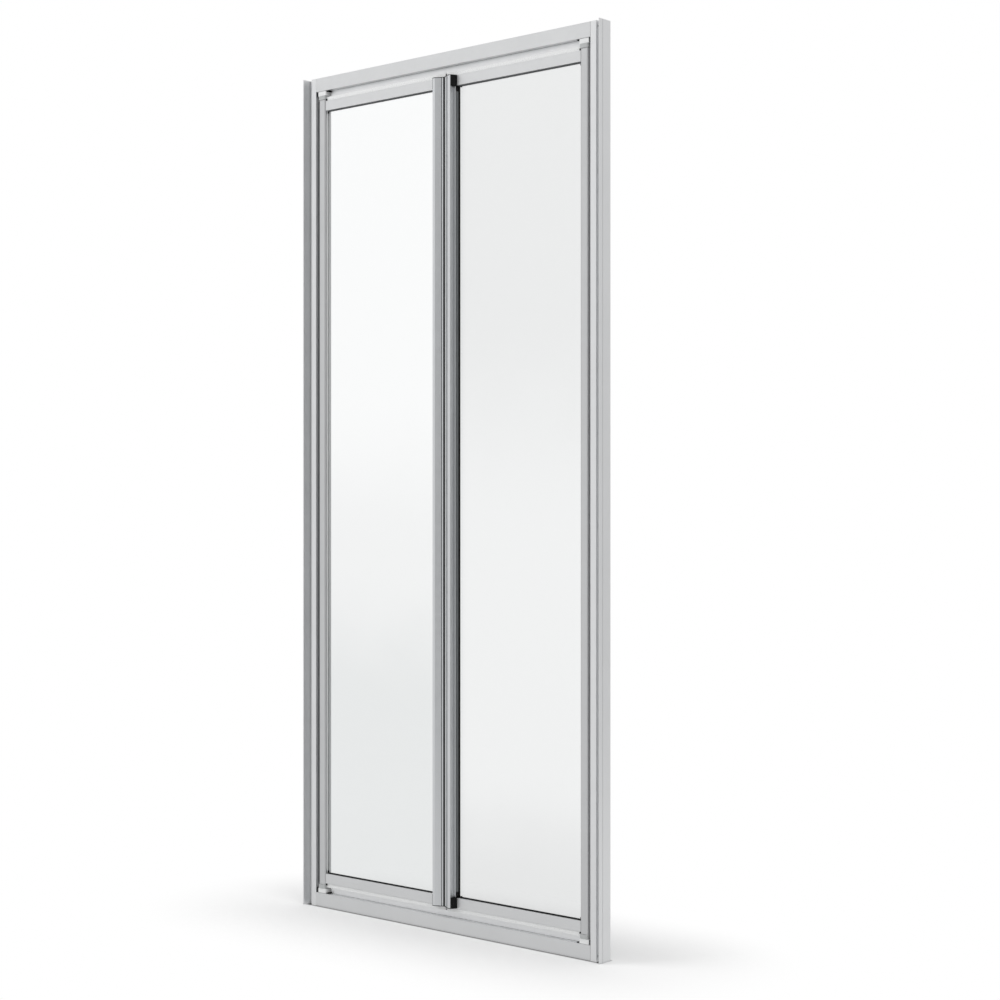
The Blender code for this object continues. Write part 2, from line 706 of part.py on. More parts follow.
def make_leaf_rails(side, flip, pivot, mats):
    near, far = CAP_END + GAP, PIVOT_X - STILE_HALF - GAP
    for name, end in ENDS:
        item = prism(f"{side}_{name}_rail", leaf_rail_section(end), "X", near, far, flip)
        finish(item, mats["aluminium"], pivot)


def pane_edges():
    """The pane's edges: at the meeting stile, at the pivot stile, bottom and top."""
    far = PIVOT_X - STILE_HALF + GLASS_BITE
    d = RAIL_MOUTH_D - GLASS_BITE
    return SHOULDER_END - GLASS_BITE, far, d, HEIGHT - d


def make_glass(side, flip, pivot, mats):
    near, far, low, high = pane_edges()
    pane = box(near, far, -GLASS / 2, GLASS / 2, EDGE_RADIUS, 1)
    finish(prism(f"{side}_glass_pane", [pane], "Z", low, high, flip), mats["glass"], pivot)


def gasket_section(edge, inward, shows):
    """A U round the pane's edge; inward is the sign from the edge to the pane."""
    outside = edge - inward * (GAP + GASKET)
    floor = edge - inward * GAP
    front_tip = edge + inward * (GLASS_BITE + shows)
    back_tip = edge + inward * (GLASS_BITE + GASKET_SHOWS_BEHIND)
    inner = GLASS / 2 + GAP
    outer = inner + GASKET
    return [(outside, -outer), (front_tip, -outer), (front_tip, -inner), (floor, -inner),
            (floor, inner), (back_tip, inner), (back_tip, outer), (outside, outer)]


def bead_section():
    """The wedge on the meeting gasket that fills the corner of stile and pane."""
    root, crest = SHOULDER_END + GAP, -POCKET_HALF - BEAD_FORWARD
    tip = SHOULDER_END + BEAD_SHOWS - GAP
    foot = -GLASS / 2 - GASKET
    return [(root, crest), (root + BEAD_CREST, crest), (tip, foot), (root, foot)]


def make_gaskets(side, flip, pivot, mats):
    near, far, low, high = pane_edges()
    wrap = GAP + GASKET
    for name, edge, inward, shows in (("meeting", near, 1, BEAD_SHOWS),
                                      ("pivot", far, -1, GASKET_SHOWS_BEHIND)):
        loop = gasket_section(edge, inward, shows)
        item = prism(f"{side}_{name}_gasket", [loop], "Z", low - wrap, high + wrap, flip)
        if name == "meeting":
            d = CAP_TAB_D + GAP
            bead = prism(f"{side}_glazing_bead", [bead_section()], "Z", d, HEIGHT - d, flip)
            join(item, bead)
        finish(item, mats["rubber"], pivot)
    start = near + GLASS_BITE + BEAD_SHOWS + GAP
    end = far - GLASS_BITE - GASKET_SHOWS_BEHIND - GAP
    for name, edge, inward in (("top", high, -1), ("bottom", low, 1)):
        loop = [(v, u) for u, v in gasket_section(edge, inward, GASKET_SHOWS)]
        item = prism(f"{side}_{name}_gasket", [loop], "X", start, end, flip)
        finish(item, mats["rubber"], pivot)


def make_magnetic_seal(side, flip, pivot, mats):
    """A strip over the stile's whole meeting edge, with a root in its groove."""
    base = MEETING - GAP
    root = MEETING + SEAL_GROOVE_DEPTH - GAP
    front, back = RIM_FRONT + SEAL_SET_BACK, STILE_BACK
    half = SEAL_GROOVE / 2 - GAP
    corners = [(SEAL_FACE, front), (base, front), (base, -half), (root, -half),
               (root, half), (base, half), (base, back), (SEAL_FACE, back)]
    item = prism(f"{side}_magnetic_seal", [corners], "Z", STILE_D, HEIGHT - STILE_D, flip)
    finish(item, mats["rubber"], pivot)


def cap_fork():
    """Side view of the part between stile and rail, open where the glass passes."""
    front, back = -POCKET_HALF - CAP_TAB_FORWARD, LEAF_RAIL_DEPTH / 2
    return [
        (front, STILE_D), (back, STILE_D), (back, CAP_FOOT_D), (POCKET_HALF, CAP_FOOT_D),
        (POCKET_HALF, RAIL_POCKET_D), (-POCKET_HALF, RAIL_POCKET_D),
        (-POCKET_HALF, CAP_TAB_D), (front, CAP_TAB_D),
    ]


def make_rail_end_caps(side, flip, pivot, mats):
    """Black mouldings that close the meeting stile's ends and key it to the rails."""
    step = SHOULDER_FRONT - GAP
    front = NOSE_FRONT + CAP_SET_BACK
    inside = SHOULDER_END + GAP
    middle = (inside + CAP_END) / 2
    key_start = (middle + CAP_END) / 2
    root = -POCKET_HALF - CAP_TAB_FORWARD / 3
    nose = NOSE_END + GAP
    plate = handle_front() + [(NOSE_END, front), (nose + CAP_NOSE_WIDTH, front),
                              (middle, step), (middle, POCKET_HALF + BACK_LIP)]
    plate += handle_back() + seal_groove()
    block = [(nose, front), (nose + CAP_NOSE_WIDTH, front), (middle, step), (middle, root),
             ((inside + middle) / 2, root), ((inside + middle) / 2, step), (nose, step)]
    for name, end in ENDS:
        low, high = span(STILE_D, STILE_D + CAP_PLATE, end)
        node = f"{side}_{name}_rail_end_cap"
        item = prism(node, [outline(plate)], "Z", low, high, flip)
        low, high = span(STILE_D, CAP_FOOT_D, end)
        join(item, prism(f"{node}_block", [block], "Z", low, high, flip))
        fork = raised(cap_fork(), end)
        join(item, prism(f"{node}_fork", [fork], "X", inside, CAP_END, flip))
        key = raised(rail_chamber(GAP), end)
        join(item, prism(f"{node}_key", [key], "X", key_start, CAP_END + CAP_KEY, flip))
        finish(item, mats["black_plastic"], pivot)


def make_wipers(side, flip, pivot, mats):
    """Twin-fin seals along the leaf's ends that close it against the fixed strips."""
    base = LEAF_RAIL_D - GAP
    foot, tip = base - WIPER_BASE, base - WIPER_HEIGHT
    outer = WIPER_HALF
    inner = outer - WIPER_FIN
    drawn_in = outer - WIPER_FIN_SET_IN
    corners = [
        (-outer, base), (-outer, foot), (-drawn_in, tip), (-inner, tip), (-inner, foot),
        (inner, foot), (inner, tip), (drawn_in, tip), (outer, foot), (outer, base),
    ]
    far = PIVOT_X - HUB_WIDTH / 2 - GAP
    for name, end in ENDS:
        loop = raised(corners, end)
        item = prism(f"{side}_{name}_seal", [loop], "X", MEETING, far, flip)
        finish(item, mats["wiper"], pivot)


def make_hubs(side, flip, pivot, mats):
    """Grey blocks plugged into the pivot stile's ends, which hold the pins."""
    block = pivot_block(HUB_WIDTH, HUB_DEPTH, HUB_RADIUS)
    for name, end in ENDS:
        low, high = span(HUB_TOP_D, HUB_SEAT_D, end)
        item = prism(f"{side}_{name}_pivot_hub", [block], "Z", low, high, flip)
        low, high = span(HUB_TOP_D + HUB_HEIGHT / 2, HUB_SEAT_D + HUB_PLUG, end)
        plug = main_chamber(GAP)
        join(item, prism(f"{side}_{name}_hub_plug", [plug], "Z", low, high, flip))
        bore = circle(PIVOT_X, 0, PIN_RADIUS + GAP)
        low, high = span(HUB_TOP_D - OVERRUN, HUB_TOP_D + PIN_IN_HUB + GAP, end)
        cut(item, prism(f"{side}_{name}_hub_bore", [bore], "Z", low, high, flip))
        finish(item, mats["grey_plastic"], pivot)


def make_pins(side, flip, pivot, mats):
    """Steel pins, held in the hubs, on which the leaf turns."""
    slim = PIN_RADIUS - PIN_CHAMFER
    for name, end in ENDS:
        low, high = span(SOCKET_D - PIN_IN_SOCKET, HUB_TOP_D + PIN_IN_HUB, end)
        profile = [(0, low), (slim, low), (PIN_RADIUS, low + PIN_CHAMFER),
                   (PIN_RADIUS, high - PIN_CHAMFER), (slim, high), (0, high)]
        item = turned(f"{side}_{name}_pivot_pin", profile, "Z", (PIVOT_X, 0, 0), flip)
        finish(item, mats["steel"], pivot, smooth=True)


def make_leaf(side, flip, mats):
    pivot = bpy.data.objects.new(f"{side}_pivot_axis", None)
    pivot.location = (flip * PIVOT_X, 0, 0)
    bpy.context.scene.collection.objects.link(pivot)
    for make in (make_pivot_stile, make_meeting_stile, make_leaf_rails, make_glass,
                 make_gaskets, make_magnetic_seal, make_rail_end_caps, make_wipers,
                 make_hubs, make_pins):
        make(side, flip, pivot, mats)


def main():
    clear_scene()
    mats = make_materials()
    make_wall_channels(mats)
    make_jambs(mats)
    make_frame_rails(mats)
    make_infills(mats)
    make_screws(mats)
    make_jamb_seals(mats)
    make_sockets(mats)
    for side, flip in SIDES:
        make_leaf(side, flip, mats)


main()
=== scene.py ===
# %% [markdown]
# # A saloon shower door, dressed for its portrait
#
# The construction arrives as a imported model: two glazed leaves in an aluminium frame,
# 869 mm wide and 1900 mm high. This script gives every surface its finish, adds sixteen
# small black blocks, eight of rubber and eight of painted shadow beside the pivots, and
# sets the light and the camera. It leaves every size alone. The cells run from top to
# bottom.

import math

import bpy
import numpy as np
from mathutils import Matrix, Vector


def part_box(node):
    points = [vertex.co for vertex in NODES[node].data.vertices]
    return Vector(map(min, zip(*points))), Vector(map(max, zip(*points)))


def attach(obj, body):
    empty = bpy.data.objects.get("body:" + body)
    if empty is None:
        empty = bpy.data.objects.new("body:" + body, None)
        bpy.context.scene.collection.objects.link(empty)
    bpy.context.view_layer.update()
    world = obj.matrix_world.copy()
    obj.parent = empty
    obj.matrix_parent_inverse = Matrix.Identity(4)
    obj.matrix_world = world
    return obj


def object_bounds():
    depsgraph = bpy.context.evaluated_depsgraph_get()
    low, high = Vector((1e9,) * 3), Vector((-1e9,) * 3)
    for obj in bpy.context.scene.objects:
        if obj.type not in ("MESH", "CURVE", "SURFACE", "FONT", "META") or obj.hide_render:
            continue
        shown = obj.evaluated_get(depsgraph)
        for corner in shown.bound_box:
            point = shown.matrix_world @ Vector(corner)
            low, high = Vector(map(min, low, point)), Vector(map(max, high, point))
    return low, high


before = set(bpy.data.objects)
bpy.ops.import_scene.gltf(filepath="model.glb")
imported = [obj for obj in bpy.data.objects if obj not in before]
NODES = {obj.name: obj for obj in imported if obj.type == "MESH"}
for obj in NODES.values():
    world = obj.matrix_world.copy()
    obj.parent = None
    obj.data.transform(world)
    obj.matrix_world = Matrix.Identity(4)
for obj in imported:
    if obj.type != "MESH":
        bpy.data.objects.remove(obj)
CAD_LOW, CAD_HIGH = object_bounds()

# %% [markdown]
# ## Names in pairs and fours
#
# The right half of the door mirrors the left one, and its foot mirrors its head. So most
# pieces come in pairs or in fours, and their names follow a pattern. The names could be
# typed out one by one, but two small functions keep the lists below short.

# %% Helpers for names
SIDES = ("left", "right")
ENDS = ("top", "bottom")


def each(*parts):
    """The names of these parts on both sides."""
    return [f"{side}_{part}" for part in parts for side in SIDES]


def four(*parts):
    """The names of these parts at the top and the bottom of both sides."""
    return each(*[f"{end}_{part}" for end in ENDS for part in parts])


print("pivot hubs:", four("pivot_hub"))

# %% [markdown]
# ## Colour and nodes
#
# Colours are written as the hex codes a colour picker shows. Those are display values,
# so they are turned into the linear light values that a shader works with. One small
# function adds a shader node, with its settings and its links, so that each finish
# reads as a short list of what it does.

# %% Helpers for colours and nodes
MM = 0.001


def linear(code, share=1.0):
    """Linear colour of an sRGB hex code: each channel c is (c + 0.055) / 1.055 to the 2.4,
    or c / 12.92 where it is darker than 0.04045. A share dims all channels alike."""
    channels = np.array([int(code[i:i + 2], 16) / 255 for i in (0, 2, 4)])
    bright = ((channels + 0.055) / 1.055) ** 2.4
    return (*(share * np.where(channels > 0.04045, bright, channels / 12.92)).tolist(), 1.0)


def add(tree, kind, settings=None, **links):
    """Add a node. Settings are its properties or sockets. A link names a socket, or its
    number after an i, and gives the output it reads, or a node for its first output."""
    node = tree.nodes.new(kind)
    for key, value in (settings or {}).items():
        if isinstance(key, int) or key in node.inputs.keys():
            node.inputs[key].default_value = value
        else:
            setattr(node, key, value)
    for key, source in links.items():
        numbered = key[0] == "i" and key[1:].isdigit()
        socket = node.inputs[int(key[1:]) if numbered else key.replace("_", " ")]
        output = source if isinstance(source, bpy.types.NodeSocket) else source.outputs[0]
        tree.links.new(output, socket)
    return node


def new_finish(name, colour, roughness, metallic=0.0, **sockets):
    """A Principled material with its uniform values on the shader's own sockets."""
    mat = bpy.data.materials.new(name)
    mat.use_nodes = True
    shader = mat.node_tree.nodes["Principled BSDF"]
    shader.inputs["Base Color"].default_value = linear(colour)
    shader.inputs["Roughness"].default_value = roughness
    shader.inputs["Metallic"].default_value = metallic
    for key, value in sockets.items():
        shader.inputs[key.replace("_", " ")].default_value = value
    return mat, mat.node_tree, shader


def dress(mat, names):
    """Give the named door pieces this finish."""
    for name in names:
        NODES[name].data.materials.clear()
        NODES[name].data.materials.append(mat)
    print(mat.name, "on", len(names), "pieces")


print("mid grey 808080 is", round(linear("808080")[0], 3))

# %% [markdown]
# ## Satin anodised aluminium
#
# The profiles are extruded aluminium, etched to a satin and anodised in a natural
# silver. Extruding leaves faint lines along the profile, and the etch blurs what the
# metal mirrors. Stretched noise makes both: one stretch along the length, a millimetre
# across, in the roughness and in a very shallow bump. A texture picture would do it
# too, but noise needs no picture and never repeats. A second, slow noise stands for the
# tank's uneven etch, and a third for the faint marks that hands and cloths leave. The
# clear oxide on the metal scatters a little light by itself, so metallic stays below 1.
# In the joints between two profiles the colour is darkened, as painted shade. Ambient
# occlusion measures how open the space round a point is, and where it is closed in, the
# colour is dimmed to a share.

# %% Aluminium whose lines follow the profile, with painted shade in the joints
METAL_SHARE = 0.86
LINE_ACROSS, LINE_ALONG = 1.2 * MM, 240 * MM
LINE_BUMP, LINE_DEPTH = 0.15, 0.02 * MM
CLOUD, CLOUD_SHADE = 90 * MM, 0.94
SMEAR = 14 * MM
MARKS_LOW, MARKS_HIGH = 0.15, 0.35
MARKS_SWING = 0.05
JOINT_REACH, JOINT_RAYS = 7 * MM, 6
CLOSED_IN, WIDE_OPEN = 0.25, 0.75


def aluminium(name, colour, roughness, along, painted_shade_share):
    """Satin metal with extrusion lines along the axis named, X or Z. The lines are about
    three times as wide as real ones, so that they still show from across a room. The
    painted shade share is the share that the colour is dimmed to where the metal is
    closed in: painted shade in the joints."""
    mat, tree, shader = new_finish(name, colour, roughness, METAL_SHARE)
    across, length = 1 / LINE_ACROSS, 1 / LINE_ALONG
    scale = (length, across, across) if along == "X" else (across, across, length)
    where = add(tree, "ShaderNodeTexCoord").outputs["Object"]
    stretched = add(tree, "ShaderNodeMapping", {"Scale": scale}, Vector=where)
    lines = add(tree, "ShaderNodeTexNoise", {"Scale": 1.0, "Detail": 3.0}, Vector=stretched)
    cloud = add(tree, "ShaderNodeTexNoise", {"Scale": 1 / CLOUD, "Detail": 2.0}, Vector=where)
    smear = add(tree, "ShaderNodeTexNoise", {"Scale": 1 / SMEAR, "Detail": 4.0}, Vector=where)
    marks = add(tree, "ShaderNodeMath", {"operation": "MULTIPLY"}, i0=lines, i1=smear)
    rough = add(tree, "ShaderNodeMapRange",
                {"From Min": MARKS_LOW, "From Max": MARKS_HIGH,
                 "To Min": roughness - MARKS_SWING, "To Max": roughness + MARKS_SWING},
                Value=marks)
    tree.links.new(rough.outputs[0], shader.inputs["Roughness"])
    shade = add(tree, "ShaderNodeMixRGB", {"Color1": linear(colour),
                                           "Color2": linear(colour, CLOUD_SHADE)}, Fac=cloud)
    shelter = add(tree, "ShaderNodeAmbientOcclusion",
                  {"samples": JOINT_RAYS, "Distance": JOINT_REACH})
    open_share = add(tree, "ShaderNodeMapRange",
                     {"From Min": CLOSED_IN, "From Max": WIDE_OPEN}, Value=shelter.outputs["AO"])
    # Painted shade: where ambient occlusion finds the metal closed in, the colour is dimmed to
    # the painted shade share.
    painted_joint_shade = add(tree, "ShaderNodeMixRGB", {"Color1": linear(colour, painted_shade_share)},
                  Fac=open_share, Color2=shade)
    tree.links.new(painted_joint_shade.outputs[0], shader.inputs["Base Color"])
    bump = add(tree, "ShaderNodeBump", {"Strength": LINE_BUMP, "Distance": LINE_DEPTH},
               Height=lines)
    tree.links.new(bump.outputs[0], shader.inputs["Normal"])
    return mat


print("extrusion lines", LINE_ACROSS / MM, "mm wide")

# %% [markdown]
# ## One metal in six tones, with painted light and shade
#
# The profiles are all one metal. Each has its own colour, lighter on the infill strips,
# the jambs and the wall channels, darker on the stiles and the handles: painted light and
# shade. One finish for all would look flat. Each also has its roughness and the axis of
# its lines, tuned until its tones came close to the real door's. The painted shade in the
# joints stays light where a profile's own slot or lip would count as one.

# %% Aluminium on the profiles
# How far the painted shade in the joints dims the colour: strongly between profiles, slightly in
# a profile's own slot or lip.
JOINT_PAINTED_SHADE, SLOT_PAINTED_SHADE = 0.5, 0.9
# Each profile: colour with painted light and shade, roughness, axis of the lines, painted shade
# share in the joints, pieces
SILVERS_WITH_PAINTED_LIGHT = {
    "level": ("E1E2E3", 0.40, "X", JOINT_PAINTED_SHADE, ["header", "sill", *four("rail")]),
    "infill": ("F4F5F6", 0.40, "X", SLOT_PAINTED_SHADE, ["header_infill", "sill_upstand"]),
    "upright": ("ECEDEE", 0.40, "Z", SLOT_PAINTED_SHADE, each("jamb")),
    "stile": ("D2D3D4", 0.40, "Z", SLOT_PAINTED_SHADE, each("pivot_stile")),
    "handle": ("DCDEE0", 0.36, "Z", JOINT_PAINTED_SHADE, each("meeting_stile")),
    "channel": ("F0F1F2", 0.42, "Z", JOINT_PAINTED_SHADE, each("wall_channel")),
}
for profile_tone, (colour, roughness, along, painted_shade_share, names) in SILVERS_WITH_PAINTED_LIGHT.items():
    dress(aluminium(f"satin_anodised_{profile_tone}", colour, roughness, along, painted_shade_share), names)

# %% [markdown]
# ## Toughened glass
#
# Each pane is 6 mm of clear float glass, toughened and polished. Clear glass is white in
# front and grey-green along its edges, because light crosses centimetres of it there.
# A transmitting shader with glass's own IOR of 1.52 gives the reflections. On top of
# that each pane's colour changes over its height, darker towards its foot and on the
# right pane also towards its top: a painted reflection of the studio. A colour ramp over
# the height gives it, and a slow smooth noise breaks it up a little. Each pane has its own.

# %% Clear glass with a painted reflection over its height
GLASS_IOR = 1.52
# How the noise breaks up the painted reflection, and each pane's painted reflection as stops
# over its height.
PAINTED_REFLECTION_CLOUD, PAINTED_REFLECTION_DRIFT = 160 * MM, 0.03
PAINTED_REFLECTION = {
    "left": ((0.25, "E9EBEB"), (0.42, "F4F5F5"), (0.62, "FCFDFD")),
    "right": ((0.06, "E8E9E9"), (0.20, "F2F3F3"), (0.46, "F3F4F4"), (0.70, "ECEDED")),
}


def clear_glass(name, tints):
    """The painted reflection follows height: tints are pairs of a share of the height and a
    colour.
    """
    mat, tree, shader = new_finish(name, tints[-1][1], 0.0, IOR=GLASS_IOR,
                                   Transmission_Weight=1.0)
    where = add(tree, "ShaderNodeTexCoord").outputs["Object"]
    place = add(tree, "ShaderNodeSeparateXYZ", Vector=where)
    height = add(tree, "ShaderNodeMapRange", {"From Min": CAD_LOW.z, "From Max": CAD_HIGH.z},
                 Value=place.outputs["Z"])
    cloud = add(tree, "ShaderNodeTexNoise", {"Scale": 1 / PAINTED_REFLECTION_CLOUD, "Detail": 1.0},
                Vector=where)
    drift = add(tree, "ShaderNodeMapRange", {"To Min": -PAINTED_REFLECTION_DRIFT, "To Max": PAINTED_REFLECTION_DRIFT},
                Value=cloud)
    share = add(tree, "ShaderNodeMath", {"operation": "ADD"}, i0=height, i1=drift)
    ramp = add(tree, "ShaderNodeValToRGB", Fac=share)
    ramp.color_ramp.interpolation = "EASE"
    stops = ramp.color_ramp.elements
    while len(stops) < len(tints):
        stops.new(tints[len(stops)][0])
    for stop, (at, colour) in zip(stops, tints):
        stop.position = at
        stop.color = linear(colour)
    tree.links.new(ramp.outputs[0], shader.inputs["Base Color"])
    return mat


for side in SIDES:
    dress(clear_glass(f"toughened_float_glass_{side}", PAINTED_REFLECTION[side]), [f"{side}_glass_pane"])

# %% [markdown]
# ## Rubber, plastic and steel
#
# The gaskets and magnetic seals are extruded black rubber: matt, and black even where
# they face the light. Under the top rail and on the jamb the rubber is a greyer grade,
# and beside the pivots a pale one. The end caps are moulded in black nylon and the pivot
# blocks in grey acetal, both with the fine grain of an eroded mould. The wipers are soft
# milky PVC, which lets a little light through. Screws and pivot pins are cold formed
# from stainless wire and tumbled, which leaves an even, slightly mottled shine. A plain
# colour would look like paper, so all share one recipe, a speckle noise in the roughness
# and in a shallow bump. The grain is coarser than a real one, so that it shows.

# %% One recipe for small pieces
GRAIN = 1.5 * MM
GRAIN_LOW, GRAIN_HIGH = 0.3, 0.7
GRAIN_SWING, GRAIN_BUMP = 0.06, 0.3


def grained(name, colour, roughness, depth, **sockets):
    """Plastic, rubber or tumbled metal with an even grain, its depth in metres."""
    mat, tree, shader = new_finish(name, colour, roughness, **sockets)
    where = add(tree, "ShaderNodeTexCoord").outputs["Object"]
    speck = add(tree, "ShaderNodeTexNoise", {"Scale": 1 / GRAIN, "Detail": 2.0}, Vector=where)
    rough = add(tree, "ShaderNodeMapRange",
                {"From Min": GRAIN_LOW, "From Max": GRAIN_HIGH,
                 "To Min": roughness - GRAIN_SWING, "To Max": roughness + GRAIN_SWING},
                Value=speck)
    tree.links.new(rough.outputs[0], shader.inputs["Roughness"])
    bump = add(tree, "ShaderNodeBump", {"Strength": GRAIN_BUMP, "Distance": depth}, Height=speck)
    tree.links.new(bump.outputs[0], shader.inputs["Normal"])
    return mat


print("grain", GRAIN / MM, "mm")

# %% [markdown]
# ## Rubber
#
# Rubber full of carbon black hardly shines, so its specular level lies well under the
# usual 0.5, and lowest in the seals between the two handles, which show as a black line.
# The grey and pale grades hold less carbon black and shine a little more. One grade for
# all would be simpler, but the lines round the real panes aren't equally dark.

# %% Four grades of rubber
RUBBER_BLACK = "0B0B0C"
MATT, RUBBER_DEPTH = 0.6, 0.02 * MM
BLACK_RUBBER = grained("extruded_epdm_rubber", RUBBER_BLACK, MATT, RUBBER_DEPTH,
                       Specular_IOR_Level=0.15)
SEAL_RUBBER = grained("extruded_magnetic_seal", "060607", MATT, RUBBER_DEPTH,
                      Specular_IOR_Level=0.05)
PALE_RUBBER = grained("extruded_pale_grey_rubber", "F0F1F1", MATT, RUBBER_DEPTH,
                      Specular_IOR_Level=0.3)
GREY_RUBBER = grained("extruded_grey_rubber", "5C5E60", MATT, RUBBER_DEPTH,
                      Specular_IOR_Level=0.3)
dress(BLACK_RUBBER, each("bottom_gasket"))
dress(PALE_RUBBER, each("pivot_gasket"))
dress(SEAL_RUBBER, each("magnetic_seal"))
dress(GREY_RUBBER, each("jamb_seal", "top_gasket"))

# %% [markdown]
# ## Plastic and steel
#
# Moulded pieces copy the grain of their mould, so it is a little deeper than rubber's.
# The wipers come smooth out of the die, and the tumbled steel is smoother still. Steel
# could have brushed lines instead, but small round pieces are tumbled, not brushed. It
# keeps a metal's own index of refraction.

# %% Nylon, acetal, PVC and steel
MOULD_SATIN, MOULD_DEPTH, SMOOTH_DEPTH = 0.42, 0.03 * MM, 0.01 * MM
BLACK_NYLON = grained("moulded_black_nylon", "0A0A0B", 0.45, MOULD_DEPTH,
                      Specular_IOR_Level=0.2)
PALE_ACETAL = grained("moulded_pale_grey_acetal", "DEDFDF", MOULD_SATIN, MOULD_DEPTH)
GREY_ACETAL = grained("moulded_grey_acetal", "ABADAD", MOULD_SATIN, MOULD_DEPTH)
MILKY_PVC = grained("extruded_soft_pvc", "EBECEC", 0.3, SMOOTH_DEPTH,
                    Transmission_Weight=0.15, IOR=1.53)
STEEL = grained("tumbled_stainless_steel", "C9C8C6", 0.26, SMOOTH_DEPTH, Metallic=1.0)
CHANNEL_SCREWS = [f"channel_screw_{number}" for number in (1, 2, 3)]
dress(BLACK_NYLON, four("rail_end_cap"))
dress(PALE_ACETAL, four("pivot_socket"))
dress(GREY_ACETAL, four("pivot_hub"))
dress(MILKY_PVC, four("seal"))
dress(STEEL, four("corner_screw", "pivot_pin") + each(*CHANNEL_SCREWS))

# %% [markdown]
# ## The glazing bead
#
# The gasket at the meeting stile carries a wedge in front, the glazing bead, that fills
# the corner between stile and glass. The two are one strip of black rubber, a little
# glossier than the other gaskets. In front of the glass the bead is painted dark grey, a
# painted sheen of black rubber in a bright room. The depth of a point tells where the
# bead begins, so one finish on Object coordinates does it. Two materials on one mesh
# would need its faces sorted first.

# %% Black rubber with a painted sheen on the bead
# Dark grey that stands for black rubber's sheen on the bead: a painted sheen.
BEAD_PAINTED_SHEEN, BEAD_ROUGHNESS = "606364", 0.4
BEAD_FOOT, BEAD_FADE = 2.5 * MM, 0.4 * MM
GLASS_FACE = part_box("right_glass_pane")[0][1]


def rubber_with_painted_sheen():
    """Black rubber painted dark grey, a painted sheen, where Y lies in front of the bead's foot.
    """
    mat = grained("extruded_two_grade_rubber", RUBBER_BLACK, BEAD_ROUGHNESS, RUBBER_DEPTH,
                  Specular_IOR_Level=0.2)
    tree = mat.node_tree
    foot = GLASS_FACE - BEAD_FOOT
    where = add(tree, "ShaderNodeTexCoord").outputs["Object"]
    place = add(tree, "ShaderNodeSeparateXYZ", Vector=where)
    bead = add(tree, "ShaderNodeMapRange", {"From Min": foot, "From Max": foot - BEAD_FADE},
               Value=place.outputs["Y"])
    # Painted sheen: dark grey in front of the bead's foot, black behind it.
    bead_sheen = add(tree, "ShaderNodeMixRGB", {"Color1": linear(RUBBER_BLACK),
                                           "Color2": linear(BEAD_PAINTED_SHEEN)}, Fac=bead)
    tree.links.new(bead_sheen.outputs[0], tree.nodes["Principled BSDF"].inputs["Base Color"])
    return mat


dress(rubber_with_painted_sheen(), each("meeting_gasket"))

# %% [markdown]
# ## Is anything left bare?
#
# With sixty pieces it is easy to forget one. The names of the finishes all start with
# how the surface was made, so a short list of these words finds any piece without one.

# %% Look for pieces without a finish
FINISHES = ("satin", "toughened", "extruded", "moulded", "tumbled")
bare = [name for name, item in NODES.items()
        if not item.data.materials[0].name.startswith(FINISHES)]
print("pieces without a finish:", bare)

# %% [markdown]
# ## A rounded block
#
# Beside the pivots sit small black blocks, some of rubber and some of painted shadow, and
# one shape serves for all: a block with rounded edges. A scaled cube with a bevel would
# look much the same, but here the surface is worked out as a grid: one parameter runs
# round a rounded rectangle, and the other climbs the block and closes over its ends.

# %% A rounded block as a grid
ROUND_POINTS, END_POINTS = 6, 4
SHARP_FROM = math.radians(50)


def rounded_block(low, high, radius):
    """Grid of a block between two corners. Round the block: for each corner of the
    rectangle, its centre plus radius times (cos, sin) of an angle over a quarter turn.
    Up the block: the radius is its full value times sin, and the height rises by radius
    times 1 - cos, of an angle over a quarter turn, at both ends, so the edges are round
    too. That angle starts one step after 0, so that no two points of a ring meet."""
    quarter = np.linspace(0, math.pi / 2, ROUND_POINTS)
    turns = (np.arange(4)[:, None] * math.pi / 2 + quarter).ravel()
    middle, half = (low + high) / 2, (high - low) / 2
    corner = np.array([[1, 1], [-1, 1], [-1, -1], [1, -1]]).repeat(ROUND_POINTS, axis=0)
    centre = middle[:2] + corner * (half[:2] - radius)
    lift = np.linspace(0, math.pi / 2, END_POINTS + 1)[1:]
    reach = np.concatenate([np.sin(lift), np.sin(lift[::-1])])
    height = np.concatenate([low[2] + radius * (1 - np.cos(lift)),
                             high[2] - radius * (1 - np.cos(lift[::-1]))])
    around = np.stack([np.cos(turns), np.sin(turns)], axis=-1)
    flat = centre + radius * reach[:, None, None] * around
    return np.concatenate([flat, np.broadcast_to(height[:, None, None], flat.shape[:2] + (1,))],
                          axis=-1)


def closed_mesh(name, grid):
    """A mesh whose rings join round and whose first and last ring are closed by a face.
    Face corners are grid numbers: ring times ring length plus step round the ring."""
    rings, steps = grid.shape[:2]
    ring, step = np.meshgrid(np.arange(rings - 1), np.arange(steps), indexing="ij")
    after = (step + 1) % steps
    corners = [ring * steps + step, ring * steps + after,
               (ring + 1) * steps + after, (ring + 1) * steps + step]
    faces = np.stack(corners, axis=-1).reshape(-1, 4).tolist()
    foot, head = list(range(steps))[::-1], list(range((rings - 1) * steps, rings * steps))
    mesh = bpy.data.meshes.new(name)
    mesh.from_pydata(grid.reshape(-1, 3).tolist(), [], faces + [foot, head])
    mesh.shade_smooth()
    mesh.set_sharp_from_angle(angle=SHARP_FROM)
    piece = bpy.data.objects.new(name, mesh)
    bpy.context.scene.collection.objects.link(piece)
    return piece


